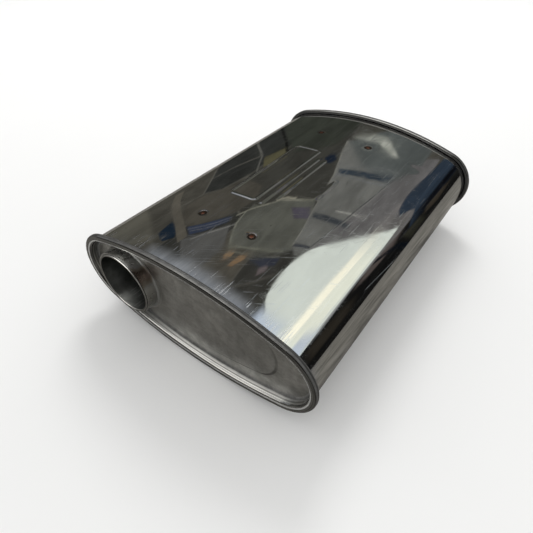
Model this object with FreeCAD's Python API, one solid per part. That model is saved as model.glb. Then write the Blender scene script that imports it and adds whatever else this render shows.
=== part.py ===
import FreeCAD, Part
import math
import os

# Oval exhaust muffler with rolled end seams, lying on its belly. Millimetres, +Z up.
# X runs across the oval, Y along the gas flow from the inlet end (-Y) to the outlet end (+Y),
# and the origin is the middle of the body, level with the pipe ports.

# Wrapped body, measured over the shell's outer face
body_width = 247.0
body_height = 96.0
body_end_radius = 35.2  # small arcs at the two sides of the oval
body_length = 347.0  # over both rolled seams

# Sheet of the shell and end caps, which are rolled together
sheet = 1.2
seat_gap = 0.1  # round a piece that is pushed into another

# Rolled double seam between shell and end cap, five layers deep
fold_gap = 0.3  # between the layers
seam_width = 5.6  # along Y
crest_bend = 2.6  # mid-line radius where the cap turns over the shell's end

# End caps
plate_depth = 8.5  # the pressed plate lies this far behind the seam's front
plate_bend = 3.0  # mid-line radius between plate and wall
neck_bend = 3.0  # mid-line radius at the foot of the drawn neck
neck_behind_tube = 1.2  # the tube's end stands this far out of its neck

# Tubes, all of one size: the ports take a 57.15 mm pipe
inlet_offset = 71.5  # from the middle towards -X
outlet_offset = 71.5  # from the middle towards +X
port_bore_radius = 28.75
tube_wall = 1.6
port_proud = 4.3  # the tube's end, beyond the seam's front
tube_past_baffle = 14.0  # open ends inside the end chambers
slot_length = 90.0  # lanced slots in the middle chamber
slot_width = 4.0
slots_around = 4

# Baffles, each spot-welded to the shell through its flange
baffle_sheet = 1.2
inlet_weld_depth = 74.5  # row of welds, from the seam's front at the inlet end
outlet_weld_depth = 66.0  # row of welds, from the seam's front at the outlet end
flange_length = 14.0

# Butt weld where the shell's edges meet under the belly
joint_gap = 1.0
bead_width = 4.0
bead_height = 0.6

# Degrees of a bend's arc that one flat stands for; a fold pressed flat has none and is sharp
bend_step = 90.0
crest_step = 45.0

# Four-arc oval: small arcs at the sides and large arcs over and under, tangent to each other
side_centre = body_width / 2 - body_end_radius
large_radius = (side_centre**2 + (body_height / 2) ** 2 - body_end_radius**2) / (
    body_height - 2 * body_end_radius
)
large_centre = large_radius - body_height / 2
large_half_angle = math.degrees(math.atan2(side_centre, large_centre))
front = -body_length / 2  # the seam's front at the inlet end
tube_radius = port_bore_radius + tube_wall
edge_bend = (sheet / 2, bend_step)  # sharp inside, rounded by the sheet's thickness outside
pressed = (0, 0)
origin = FreeCAD.Vector()
along_y = FreeCAD.Vector(0, 1, 0)


def layer(number):
    # Mid-line of a sheet in the seam, as an offset out from the shell's outer face: 0 is the shell,
    # -1 the cap's wall inside it, and 1 to 3 the cap's hook, the shell's hook and the cap's cover
    return number * (sheet + fold_gap) - sheet / 2


def side_corners(line, shift):
    # Corners of a strip's one side: each leg of its mid-line moved sideways by shift, then crossed
    legs = []
    for (x0, y0), (x1, y1) in zip(line, line[1:]):
        size = math.hypot(x1 - x0, y1 - y0)
        dx, dy = (x1 - x0) / size, (y1 - y0) / size
        legs.append((x0 - dy * shift, y0 + dx * shift, dx, dy, size))
    corners = [FreeCAD.Vector(legs[0][0], legs[0][1], 0)]
    for (ax, ay, adx, ady, _), (bx, by, bdx, bdy, _) in zip(legs, legs[1:]):
        far = ((bx - ax) * bdy - (by - ay) * bdx) / (adx * bdy - ady * bdx)
        corners.append(FreeCAD.Vector(ax + adx * far, ay + ady * far, 0))
    x, y, dx, dy, size = legs[-1]
    return corners + [FreeCAD.Vector(x + dx * size, y + dy * size, 0)]


def folded_side(corners, radii, steps):
    # A strip's one side with each bend as flats between points of its arc
    side = [corners[0]]
    for before, corner, after, radius, step in zip(corners, corners[1:], corners[2:], radii, steps):
        if radius < 1e-6:
            side.append(corner)
            continue
        back = (before - corner).normalize()
        ahead = (after - corner).normalize()
        half = back.getAngle(ahead) / 2
        centre = corner + (back + ahead).normalize() * (radius / math.sin(half))
        spoke = corner + back * (radius / math.tan(half)) - centre
        bend = math.degrees(math.pi - 2 * half)
        flats = max(1, round(bend / step))
        turn = FreeCAD.Rotation(back.cross(ahead), -bend / flats)
        for _ in range(flats + 1):
            if (centre + spoke - side[-1]).Length > 1e-6:
                side.append(centre + spoke)
            spoke = turn.multVec(spoke)
    if (corners[-1] - side[-1]).Length > 1e-6:
        side.append(corners[-1])
    return side


def bent_strip(line, bends, thickness):
    # Section of a sheet folded along its mid-line's corners; each bend is a mid-line radius and the
    # step of its flats, or zeros for a fold pressed flat
    half = thickness / 2
    left, right = [], []
    for (x0, y0), (x1, y1), (x2, y2), (radius, step) in zip(line, line[1:], line[2:], bends):
        turn = math.copysign(half, (x1 - x0) * (y2 - y1) - (y1 - y0) * (x2 - x1)) if step else 0
        left.append(radius - turn)
        right.append(radius + turn)
    steps = [step for _, step in bends]
    left = folded_side(side_corners(line, half), left, steps)
    right = folded_side(side_corners(line, -half), right, steps)
    return Part.Face(Part.makePolygon(left + right[::-1] + left[:1]))


def sweep_round_oval(section):
    # A section in (offset from the shell, Y) turned about each of the four arc centres in its sector
    side_sweep = 180 - 2 * large_half_angle
    sectors = [
        (side_centre, 0, body_end_radius, -side_sweep / 2, side_sweep),
        (0, -large_centre, large_radius, 90 - large_half_angle, 2 * large_half_angle),
        (-side_centre, 0, body_end_radius, 180 - side_sweep / 2, side_sweep),
        (0, large_centre, large_radius, 270 - large_half_angle, 2 * large_half_angle),
    ]
    pieces = []
    for centre_x, centre_z, radius, start, sweep in sectors:
        face = section.translated(FreeCAD.Vector(radius, 0, 0))
        piece = face.rotated(origin, along_y, -start).revolve(origin, along_y, -sweep)
        pieces.append(piece.translated(FreeCAD.Vector(centre_x, 0, centre_z)))
    return pieces[0].fuse(pieces[1:]).removeSplitter()


def oval_disc(offset, y0, y1):
    # Solid of the oval, offset out from the shell's outer face, between two places along Y
    tilt = math.radians(large_half_angle)
    side = body_end_radius + offset
    join_x = side_centre + side * math.sin(tilt)
    join_z = side * math.cos(tilt)
    crown_z = body_height / 2 + offset
    end_x = body_width / 2 + offset
    stations = [
        (join_x, join_z),
        (0, crown_z),
        (-join_x, join_z),
        (-end_x, 0),
        (-join_x, -join_z),
        (0, -crown_z),
        (join_x, -join_z),
        (end_x, 0),
        (join_x, join_z),
    ]
    points = [FreeCAD.Vector(x, y0, z) for x, z in stations]
    arcs = [Part.Arc(*points[i : i + 3]).toShape() for i in range(0, len(points) - 1, 2)]
    return Part.Face(Part.Wire(arcs)).extrude(FreeCAD.Vector(0, y1 - y0, 0))


def opposite(shape):
    # The same form at the other end of the body
    return shape.rotated(origin, FreeCAD.Vector(0, 0, 1), 180)


def drawn_neck(plate, x, plate_y):
    # The plate's port hole, with its edge drawn out towards the inlet end round the tube
    mid = tube_radius + seat_gap + sheet / 2
    foot = mid + neck_bend
    lip = front - port_proud + neck_behind_tube
    line = [(foot, plate_y), (mid, plate_y), (mid, lip)]
    neck = bent_strip(line, [(neck_bend, bend_step)], sheet)
    neck = neck.revolve(origin, along_y, 360).translated(FreeCAD.Vector(x, 0, 0))
    hole = Part.makeCylinder(foot, sheet, FreeCAD.Vector(x, plate_y - sheet / 2, 0), along_y)
    return plate.cut(hole).fuse(neck)


def end_cap(port_x):
    # One pressed sheet at the inlet end: plate and neck, wall, and the double seam's cover and hook
    plate_y = front + plate_depth + sheet / 2
    cover_y = front + sheet / 2
    fold_y = front + seam_width - sheet / 2
    flat_edge = layer(-1) - plate_bend
    line = [
        (flat_edge, plate_y),
        (layer(-1), plate_y),
        (layer(-1), cover_y),
        (layer(3), cover_y),
        (layer(3), fold_y),
        (layer(1), fold_y),
        (layer(1), front + 2 * (sheet + fold_gap)),
    ]
    bends = [(plate_bend, bend_step), (crest_bend, crest_step), edge_bend, pressed, pressed]
    rim = sweep_round_oval(bent_strip(line, bends, sheet))
    plate = oval_disc(flat_edge, plate_y - sheet / 2, plate_y + sheet / 2)
    return rim.fuse(drawn_neck(plate, port_x, plate_y)).removeSplitter()


def shell():
    # One wrapped sheet, its ends hooked out for the seams and its edges meeting under the belly
    hook_y = sheet + fold_gap + sheet / 2
    tip_y = seam_width - sheet - fold_gap
    line = [
        (layer(2), front + tip_y),
        (layer(2), front + hook_y),
        (layer(0), front + hook_y),
        (layer(0), -front - hook_y),
        (layer(2), -front - hook_y),
        (layer(2), -front - tip_y),
    ]
    wrap = sweep_round_oval(bent_strip(line, [pressed, edge_bend, edge_bend, pressed], sheet))
    corner = FreeCAD.Vector(-joint_gap / 2, front, -body_height)
    return wrap.cut(Part.makeBox(joint_gap, body_length, body_height, corner))


def shell_seam_weld():
    # Weld bead that fills the joint under the belly and stands proud of it between the end seams
    start = front + seam_width + fold_gap
    length = body_length - 2 * (seam_width + fold_gap)
    crown = (bead_width**2 / 4 + bead_height**2) / (2 * bead_height)
    top = -body_height / 2 - bead_height
    bead = Part.makeCylinder(crown, length, FreeCAD.Vector(0, start, top + crown), along_y)
    bead = bead.cut(oval_disc(0, start, start + length))
    corner = FreeCAD.Vector(-joint_gap / 2, start, top + bead_height / 2)
    root = Part.makeBox(joint_gap, length, sheet + bead_height / 2, corner)
    return bead.fuse(root).removeSplitter()


def web_place(weld_depth):
    # Mid-plane of a baffle's web at the inlet end, half a flange beyond its row of welds
    return front + weld_depth + flange_length / 2


def baffle(weld_depth, tube_places):
    # Pressed partition at the inlet end: a flange inside the shell, and a hole for each tube
    web_y = web_place(weld_depth)
    half = baffle_sheet / 2
    flange = -sheet - seat_gap - half
    flat_edge = flange - baffle_sheet
    line = [(flat_edge, web_y), (flange, web_y), (flange, web_y - flange_length)]
    rim = sweep_round_oval(bent_strip(line, [pressed], baffle_sheet))
    web = oval_disc(flat_edge, web_y - half, web_y + half)
    for x in tube_places:
        start = FreeCAD.Vector(x, web_y - half, 0)
        web = web.cut(Part.makeCylinder(tube_radius + seat_gap, baffle_sheet, start, along_y))
    return rim.fuse(web).removeSplitter()


def slotted_tube(x, y0, y1):
    # Tube along Y, level with the ports, with lanced slots round it between the baffles
    start = FreeCAD.Vector(x, y0, 0)
    tube = Part.makeCylinder(tube_radius, y1 - y0, start, along_y)
    tube = tube.cut(Part.makeCylinder(port_bore_radius, y1 - y0, start, along_y))
    middle = (web_place(inlet_weld_depth) - web_place(outlet_weld_depth)) / 2
    corner = FreeCAD.Vector(-slot_width / 2, middle - slot_length / 2, port_bore_radius / 2)
    slot = Part.makeBox(slot_width, slot_length, port_bore_radius, corner)
    slots = []
    for i in range(slots_around):
        turned = slot.rotated(origin, along_y, 360 * (i + 0.5) / slots_around)
        slots.append(turned.translated(FreeCAD.Vector(x, 0, 0)))
    return tube.cut(slots)


port_end = front - port_proud
inlet_side_end = web_place(inlet_weld_depth) - tube_past_baffle
outlet_side_end = -web_place(outlet_weld_depth) + tube_past_baffle
parts = {
    "shell": shell(),
    "shell_seam_weld": shell_seam_weld(),
    "inlet_end_cap": end_cap(-inlet_offset),
    "outlet_end_cap": opposite(end_cap(-outlet_offset)),
    "inlet_baffle": baffle(inlet_weld_depth, [-inlet_offset, 0, outlet_offset]),
    "outlet_baffle": opposite(baffle(outlet_weld_depth, [-outlet_offset, 0, inlet_offset])),
    "inlet_tube": slotted_tube(-inlet_offset, port_end, outlet_side_end),
    "return_tube": slotted_tube(0, inlet_side_end, outlet_side_end),
    "outlet_tube": slotted_tube(outlet_offset, inlet_side_end, -port_end),
}
os.makedirs("parts", exist_ok=True)
for name, shape in parts.items():
    shape.exportStep(f"parts/{name}.step")
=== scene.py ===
import math
import bpy
import numpy as np
from mathutils import Matrix, Vector


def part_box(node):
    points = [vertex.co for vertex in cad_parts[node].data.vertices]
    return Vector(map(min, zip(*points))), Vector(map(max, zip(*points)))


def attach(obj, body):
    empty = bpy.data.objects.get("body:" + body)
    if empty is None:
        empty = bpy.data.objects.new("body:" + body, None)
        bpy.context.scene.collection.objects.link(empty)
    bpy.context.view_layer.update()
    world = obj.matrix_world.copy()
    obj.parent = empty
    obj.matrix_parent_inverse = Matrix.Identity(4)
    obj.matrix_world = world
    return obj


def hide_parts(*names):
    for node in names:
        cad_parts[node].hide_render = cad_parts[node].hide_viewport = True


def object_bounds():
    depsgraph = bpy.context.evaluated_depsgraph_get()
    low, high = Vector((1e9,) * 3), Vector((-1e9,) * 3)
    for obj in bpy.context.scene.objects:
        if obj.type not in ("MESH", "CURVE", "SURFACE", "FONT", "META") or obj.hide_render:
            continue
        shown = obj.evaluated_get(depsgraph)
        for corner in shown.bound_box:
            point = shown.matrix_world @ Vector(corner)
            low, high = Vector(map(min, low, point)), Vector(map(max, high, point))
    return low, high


# Oval muffler on a pale studio floor. Metres, +Y along the gas flow, +Z up.
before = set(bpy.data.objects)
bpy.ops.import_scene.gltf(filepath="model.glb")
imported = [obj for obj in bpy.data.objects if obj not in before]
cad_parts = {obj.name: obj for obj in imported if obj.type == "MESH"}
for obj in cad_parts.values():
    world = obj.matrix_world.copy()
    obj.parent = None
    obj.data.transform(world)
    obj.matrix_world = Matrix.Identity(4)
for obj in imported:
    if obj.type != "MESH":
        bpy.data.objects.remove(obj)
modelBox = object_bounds()
scene = bpy.context.scene
print("frame loaded")

body = {
    "width": 0.247,
    "height": 0.096,
    "sideRadius": 0.0352,  # small arcs of the oval
    "length": 0.347,  # over both rolled seams
    "sheet": 0.0012,
    "portX": 0.0715,  # towards -X at the inlet, +X at the outlet
    "tubeInside": 0.02875,
    "tubeOutside": 0.03035,
}
sideCentre = body["width"] / 2 - body["sideRadius"]
crownRadius = (sideCentre**2 + (body["height"] / 2) ** 2 - body["sideRadius"] ** 2) / (
    body["height"] - 2 * body["sideRadius"]
)
crownCentre = crownRadius - body["height"] / 2
crownHalf = math.atan2(sideCentre, crownCentre)
seamFront = body["length"] / 2

# Camera first: where the photographer stood

view = {"place": (0.1844, -0.3164, 0.2690), "turn": 35.41, "rise": 42.97, "roll": 1.35, "lens": 28.27}


def setCamera():
    turn, rise, roll = (math.radians(view[key]) for key in ("turn", "rise", "roll"))
    back = Vector((math.sin(turn) * math.cos(rise), -math.cos(turn) * math.cos(rise), math.sin(rise)))
    level = (-back).cross(Vector((0, 0, 1))).normalized()
    upright = level.cross(-back)
    right = math.cos(roll) * level + math.sin(roll) * upright
    up = -math.sin(roll) * level + math.cos(roll) * upright
    camera = bpy.data.objects.new("camera", bpy.data.cameras.new("camera"))
    camera.data.lens = view["lens"]
    camera.data.sensor_width = 36
    facing = Matrix((right, up, back)).transposed().to_4x4()
    camera.matrix_world = Matrix.Translation(view["place"]) @ facing
    scene.collection.objects.link(camera)
    scene.camera = camera


setCamera()
scene.view_settings.view_transform = "Standard"
print("camera set")

# Meshes from whole arrays


def makePiece(name, points, quads, uv=None, sharp=35):
    # closed meshes are turned the right way by the sign of their volume
    a, b, c, d = (points[quads[:, k]] for k in range(4))
    if np.einsum("ij,ij->", a - c, np.cross(b, d)) < 0:
        quads = quads[:, ::-1]
        uv = None if uv is None else uv[:, ::-1]
    mesh = bpy.data.meshes.new(name)
    mesh.from_pydata(points, [], quads, shade_flat=False)
    if uv is not None:
        layer = mesh.uv_layers.new(name="along")
        layer.data.foreach_set("uv", np.ascontiguousarray(uv, dtype=np.float32).ravel())
    mesh.set_sharp_from_angle(angle=math.radians(sharp))
    mesh.validate()
    made = bpy.data.objects.new(name, mesh)
    scene.collection.objects.link(made)
    return made


def setAttribute(piece, label, values):
    # one number for each point, which the materials read
    layer = piece.data.attributes.new(label, "FLOAT", "POINT")
    layer.data.foreach_set("value", values.astype(np.float32))


def gridQuads(rows, columns, wrapRows=True, wrapColumns=True):
    # the four corners of each cell of a grid, row by row, as point numbers and as grid places
    i, j = np.meshgrid(
        np.arange(rows if wrapRows else rows - 1),
        np.arange(columns if wrapColumns else columns - 1),
        indexing="ij",
    )
    i, j = i.ravel(), j.ravel()
    places = np.stack([(i, j), (i, j + 1), (i + 1, j + 1), (i + 1, j)], axis=0).transpose(2, 0, 1)
    quads = (places[..., 0] % rows) * columns + places[..., 1] % columns
    return quads, places


def lengthsAlong(points):
    # running length of a line of points
    steps = np.linalg.norm(np.diff(points, axis=0), axis=1)
    return np.concatenate([[0], np.cumsum(steps)])


def smoothStep(low, high, value):
    # 0 below low, 1 above high, with no corner between
    t = np.clip((value - low) / (high - low), 0, 1)
    return t * t * (3 - 2 * t)


def hill(away, width):
    # 1 in the middle, falling off smoothly with the distance away
    return np.exp(-((away / width) ** 2))


def ovalPoint(turn, offset):
    # four arcs: the turn of the normal from straight up picks the arc, and the point is its centre
    # plus its radius and the offset along the normal
    turn = (turn + np.pi) % (2 * np.pi) - np.pi
    over = np.abs(turn) <= crownHalf
    under = np.abs(turn) >= np.pi - crownHalf
    side = ~(over | under)
    centreX = np.where(side, np.sign(turn) * sideCentre, 0)
    centreZ = np.where(over, -crownCentre, np.where(under, crownCentre, 0))
    radius = np.where(side, body["sideRadius"], crownRadius) + offset
    return centreX + radius * np.sin(turn), centreZ + radius * np.cos(turn)


def roundTurns(crownStops, sideStops):
    # turns all round the oval, given the stops over one crown as turns, and a count for each side
    side = np.linspace(crownHalf, np.pi - crownHalf, sideStops + 1)[:-1]
    return np.concatenate([crownStops, side, np.pi + crownStops, np.pi + side])


def denser(low, high, places, step, reach, fine):
    # even stops, with finer ones within reach of each place
    even = np.linspace(low, high, int((high - low) / step) + 2)
    near = (places[:, None] + np.arange(-reach, reach, fine)).ravel()
    near = near[(near > low + fine) & (near < high - fine)]
    far = np.abs(even[:, None] - places).min(axis=1) > reach
    far[[0, -1]] = True
    merged = np.sort(np.concatenate([even[far], near]))
    return merged[np.concatenate([[True], np.diff(merged) > fine * 0.45])]


def roundedLine(corners, radii, steps=6):
    # a line through the corners with an arc in each: its points, and the normals to its left
    legs = np.diff(corners, axis=0)
    legs /= np.linalg.norm(legs, axis=1, keepdims=True)
    angles = np.arctan2(legs[:, 1], legs[:, 0])
    headings = [angles[:1]]
    points = [corners[:1]]
    for corner, leg, start, end, radius in zip(corners[1:-1], legs, angles, angles[1:], radii):
        bend = (end - start + np.pi) % (2 * np.pi) - np.pi
        side = np.sign(bend)
        heading = start + np.linspace(0, bend, steps)
        left = np.stack([-np.sin(heading), np.cos(heading)], axis=1)
        centre = corner - leg * radius * math.tan(abs(bend) / 2) + side * radius * left[0]
        points.append(centre - side * radius * left)
        headings.append(heading)
    points = np.concatenate(points + [corners[-1:]])
    headings = np.concatenate(headings + [angles[-1:]])
    return points, np.stack([-np.sin(headings), np.cos(headings)], axis=1)


print("shapes ready")

# Shell: one wrapped sheet with spot-weld marks and blank pressed panels

shellLook = {
    "endY": seamFront - 0.0030,  # under the seam's cover
    "welds": ((-0.0429, -0.0980), (0.0147, -0.1002), (-0.0424, 0.1101), (0.0209, 0.1055)),
    "weldDepth": 0.00050,
    "weldRing": 0.0029,
    "ringWidth": 0.0009,
    "sinkDepth": 0.00012,
    "sinkReach": 0.0058,
    "dent": (0.0770, 0.1075, 0.00022, 0.0075),  # place, depth and reach
    "panel": (-0.0310, 0.0040, 0.0145, 0.0600),  # middle and half sizes across and along
    "panelCorner": 0.004,
    "panelHeight": 0.00065,
    "panelWidth": 0.0011,  # of the bead round the panel
    "bars": (
        (-0.0085, -0.0050, 0.0016, 0.0520),
        (-0.0005, 0.0040, 0.0014, 0.0400),
        (0.0285, 0.0005, 0.0020, 0.0160),
    ),
    "barCorner": 0.0013,
    "barHeight": 0.00040,
    "barEdge": 0.0009,
    "wave": 0.00004,
    "valley": 0.00005,  # the sheet sinks a little between each seam and its row of welds
    "valleyY": 0.137,
    "valleyWidth": 0.017,
    "acrossSteps": (0.0042, 0.0042, 0.00085),  # the mesh's even step, reach of the fine one, fine step
    "alongSteps": (0.0040, 0.0056, 0.0009),
    "sideStops": 34,
}


def boxDistance(x, y, midX, midY, halfX, halfY, corner):
    # distance to a rounded rectangle, negative inside
    dx = np.abs(x - midX) - halfX + corner
    dy = np.abs(y - midY) - halfY + corner
    return np.hypot(np.maximum(dx, 0), np.maximum(dy, 0)) + np.minimum(np.maximum(dx, dy), 0) - corner


def shellRelief(turn, y):
    # how far the polished sheet stands out of the plain oval: faint waves, a shallow valley beside
    # each seam, a ring and a broad sink at each weld, a dent, and the blank panel's bead and bars
    x = ovalPoint(turn, 0)[0]
    fromUpright = np.abs((turn + np.pi / 2) % np.pi - np.pi / 2)
    flat = 1 - smoothStep(crownHalf * 0.75, crownHalf * 1.02, fromUpright)
    across = crownRadius * np.sin(turn)
    look = shellLook
    relief = look["wave"] * np.sin(x * 47 + y * 23 + 0.6) * np.sin(y * 38 - x * 21)
    relief += look["wave"] * 0.45 * np.sin(x * 112 + 1.3) * np.sin(y * 71 + 0.4)
    relief *= 1 - smoothStep(0.150, 0.168, np.abs(y))
    relief -= look["valley"] * hill(np.abs(y) - look["valleyY"], look["valleyWidth"])
    for weldX, weldY in look["welds"]:
        r = np.hypot(x - weldX, y - weldY)
        relief -= look["weldDepth"] * hill(r - look["weldRing"], look["ringWidth"])
        relief -= look["sinkDepth"] * hill(r, look["sinkReach"])
    dentX, dentY, depth, reach = look["dent"]
    relief -= depth * hill(np.hypot(x - dentX, y - dentY), reach)
    relief *= flat
    top = (np.cos(turn) > 0.9) * 1.0
    bead = boxDistance(across, y, *look["panel"], look["panelCorner"])
    relief += top * look["panelHeight"] * hill(bead, look["panelWidth"])
    for bar in look["bars"]:
        inside = boxDistance(across, y, *bar, look["barCorner"])
        relief += top * look["barHeight"] * (1 - smoothStep(-look["barEdge"], look["barEdge"], inside))
    return relief


def makeShell():
    # turn round the oval by place along Y; the outside has the relief, the inside is plain
    look = shellLook
    weldX, weldY = np.array(look["welds"]).T
    midX, midY, halfX, halfY = look["panel"]
    edge = crownRadius * math.sin(crownHalf)
    fineX = np.concatenate([weldX, [midX - halfX, midX + halfX], [bar[0] for bar in look["bars"]]])
    fineY = np.concatenate([weldY, [midY - halfY, midY + halfY]])
    across = denser(-edge, edge, fineX, *look["acrossSteps"])
    turns = roundTurns(np.arcsin(across / crownRadius)[:-1], look["sideStops"])
    along = denser(-look["endY"], look["endY"], fineY, *look["alongSteps"])
    y = np.concatenate([along, along[[-1, 0]]])[:, None]
    outside = (np.arange(len(y)) < len(along))[:, None]
    offset = np.where(outside, shellRelief(turns[None, :], y), -body["sheet"])
    x, z = ovalPoint(turns[None, :] + 0 * y, offset)
    points = np.stack([x, y + 0 * x, z], axis=-1).reshape(-1, 3)
    quads, places = gridQuads(len(y), len(turns))
    around = lengthsAlong(np.stack(ovalPoint(np.append(turns, turns[0]), 0), axis=1))
    run = np.append(y[:, 0], y[0, 0])
    uv = np.stack([around[places[..., 1]], run[places[..., 0]]], axis=-1)
    return makePiece("shellSheet", points, quads, uv, sharp=50)


shellSheet = makeShell()
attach(shellSheet, "root")
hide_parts("shell")
print("shell made")

# End caps: neck, plate, wall and rolled seam in one pressed sheet

cap = {
    "layer": 0.0015,  # from one layer of the seam to the next
    "seamWidth": 0.0056,
    "plateDepth": 0.0085,
    "plateBend": 0.0030,
    "neckBend": 0.0030,
    "neckGap": 0.0001,
    "lipY": -(seamFront + 0.0043) + 0.0012,  # a little behind the tube's end
    "crestBend": 0.0026,
    "highlightTurn": 1.234,  # turn round the crest of the painted highlight, from inwards to straight ahead
    "outerBend": 0.0016,
    "foldBend": 0.0013,
    "chamfer": 0.00025,
    "plateRows": 14,
    "plateWave": 0.00016,
    "arcSteps": 8,
    "crownStops": 78,
    "sideStops": 54,
    "highlightWidth": 0.20,  # of the crest's painted highlight, as a turn
    "cornerWidth": 0.0024,  # of the painted shade at the foot of the wall, and at the neck's
    "footWidth": 0.0020,
    "shadeRise": 0.0008,
}


def makeCap(name, flip):
    # profile from the neck's lip to the tip of the seam's hook, by turn round the oval. A point
    # near the port is set off from the port's axis, one near the rim from the oval, and the plate
    # goes evenly from one to the other
    half = body["sheet"] / 2
    layer = [number * cap["layer"] - half for number in (-1, 1, 3)]
    plateY = -seamFront + cap["plateDepth"] + half
    coverY = -seamFront + half
    foldY = -seamFront + cap["seamWidth"] - half
    neck = body["tubeOutside"] + cap["neckGap"] + half
    foot = neck + cap["neckBend"]
    edge = layer[0] - cap["plateBend"]
    neckLine, neckNormals = roundedLine(
        np.array([(neck, cap["lipY"]), (neck, plateY), (foot + 0.001, plateY)]),
        [cap["neckBend"] * 0.98],
        cap["arcSteps"],
    )
    rimLine, rimNormals = roundedLine(
        np.array([
            (edge - 0.001, plateY), (layer[0], plateY), (layer[0], coverY), (layer[2], coverY),
            (layer[2], foldY), (layer[1], foldY), (layer[1], -seamFront + 2 * cap["layer"]),
        ]),
        [cap["plateBend"] * 0.98, cap["crestBend"], cap["outerBend"], cap["foldBend"], cap["foldBend"]],
        cap["arcSteps"],
    )
    blend = np.linspace(0, 1, cap["plateRows"])
    # one mid-line: radius from the port, offset from the oval, share of the oval, and Y
    radius = np.concatenate([neckLine[:, 0], np.full(len(blend) + len(rimLine), neckLine[-1, 0])])
    offset = np.concatenate([np.full(len(neckLine) + len(blend), rimLine[0, 0]), rimLine[:, 0]])
    share = np.concatenate([np.zeros(len(neckLine)), blend, np.ones(len(rimLine))])
    sheetY = np.concatenate([neckLine[:, 1], np.full(len(blend), plateY), rimLine[:, 1]])
    level = np.tile(neckNormals[-1], (len(blend), 1))
    normals = np.concatenate([neckNormals, level, rimNormals])
    steps = sum(np.abs(np.diff(a)) for a in (radius, offset, share, sheetY))
    keep = np.append(True, steps > 1e-7)
    radius, offset, share, sheetY, normals = (a[keep] for a in (radius, offset, share, sheetY, normals))
    # the two sides: the normal's part across goes to whichever place the point is set off from
    sides = []
    for sign in (1, -1):
        shift = sign * half * normals
        fromPort = radius + shift[:, 0] * (share < 1)
        fromOval = offset + shift[:, 0] * (share > 0)
        sides.append(np.stack([fromPort, fromOval, share, sheetY + shift[:, 1]], axis=1))
    # both edges of the sheet, at the lip and at the hook's tip, are chamfered
    bevel = cap["chamfer"]
    corners = []
    for side, mark in zip(sides, (-1, 1)):
        for end, inward, column in ((0, 1, 0), (-1, -2, 1)):
            corner = side[end].copy()
            corner[column] += mark * bevel * np.sign(normals[end, 0])
            side[end, 3] += bevel * np.sign(side[inward, 3] - side[end, 3])
            corners.append(corner[None])
    lipOut, tipOut, lipIn, tipIn = corners
    loop = np.concatenate([sides[0], tipOut, tipIn, sides[1][::-1], lipIn, lipOut])
    turns = roundTurns(np.linspace(-crownHalf, crownHalf, cap["crownStops"])[:-1], cap["sideStops"])
    edgeX, edgeZ = ovalPoint(turns, edge)
    bearing = np.arctan2(edgeX + body["portX"], edgeZ)
    radius, offset, share, sheetY = (loop[:, k][:, None] for k in range(4))
    ovalX, ovalZ = ovalPoint(turns[None, :] + 0 * share, offset)
    portX = -body["portX"] + radius * np.sin(bearing)
    portZ = radius * np.cos(bearing)
    x = portX + (ovalX - portX) * share
    z = portZ + (ovalZ - portZ) * share
    onPlate = np.clip(4 * share * (1 - share), 0, 1)
    y = sheetY + cap["plateWave"] * onPlate * np.sin(x * 61 + 0.8) * np.sin(z * 88 + x * 33)
    points = np.stack([x, y, z], axis=-1)
    if flip:
        points[..., :2] *= -1  # half a turn about Z
    quads, places = gridQuads(len(loop), len(turns))
    around = lengthsAlong(np.stack(ovalPoint(np.append(turns, turns[0]), 0), axis=1))
    rise = lengthsAlong(np.stack([loop[:, 0] + loop[:, 1] + loop[:, 2] * 0.05, loop[:, 3]], axis=1))
    rise = np.append(rise, rise[-1])
    uv = np.stack([around[places[..., 1]], rise[places[..., 0]]], axis=-1)
    made = makePiece(name, points.reshape(-1, 3), quads, uv, sharp=40)
    # masks for the material: rim, painted shade in the corners and over the seam's outer and hook faces,
    # the recess wall, and a painted highlight on the crest's inner bend
    onRim = smoothStep(0.6, 1.0, share) * smoothStep(edge + 0.0006, layer[0] - 0.0004, offset)
    onOval, onPort = share > 0.99, share < 0.01
    overPlate = sheetY - plateY + cap["shadeRise"]
    rimCorner = hill(np.hypot(offset - layer[0] + half, overPlate), cap["cornerWidth"]) * onOval
    neckFoot = hill(np.hypot(radius - neck - half, overPlate), cap["footWidth"]) * onPort
    outerFace = smoothStep(layer[2] - half * 0.2, layer[2] + half * 0.7, offset)
    inFront = sheetY < plateY + half * 1.01
    hookFace = smoothStep(foldY - 0.0012, foldY + 0.0003, sheetY)
    hookFace = hookFace * (offset > layer[0] + half) * (offset < layer[2] - half)
    # painted shade: darker at the foot of the recess wall and of the neck, over the seam's outer face and
    # on the hook's face
    shade = np.maximum((rimCorner + 0.7 * neckFoot) * inFront, 0.85 * outerFace)
    shade = np.maximum(shade, 0.8 * hookFace)
    wall = onOval * (1 - smoothStep(layer[0] - half * 0.6, layer[0] + half * 0.6, offset))
    wall = wall * smoothStep(coverY + 0.0008, coverY + 0.0026, sheetY)
    wall = wall * (1 - smoothStep(plateY - 0.0022, plateY - 0.0010, sheetY))
    # painted highlight: a pale band round the crest's inner bend
    crest = offset - layer[0] - cap["crestBend"], sheetY - coverY - cap["crestBend"]
    crestHighlight = hill(np.arctan2(-crest[1], -crest[0]) - cap["highlightTurn"], cap["highlightWidth"])
    crestHighlight = crestHighlight * onOval * (np.hypot(*crest) > cap["crestBend"]) * (sheetY < coverY + cap["crestBend"])
    masks = {"rim": onRim, "corner": shade, "wall": wall, "crestHighlight": crestHighlight, "share": share}
    for label, values in masks.items():
        setAttribute(made, label, np.repeat(values, len(turns)))
    return made


caps = []
for name, nodeName, flip in (("inletCap", "inlet_end_cap", False), ("outletCap", "outlet_end_cap", True)):
    piece = makeCap(name, flip)
    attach(piece, "root")
    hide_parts(nodeName)
    caps.append(piece)
print("end caps made")

# Tubes: round wall with four slots between the baffles

tube = {
    "stops": 18,  # in each quarter, from slot to slot
    "slotHalf": 0.0020,
    "slotFrom": -0.04075,
    "slotTo": 0.04925,
    "bevel": 0.00035,
}


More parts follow.
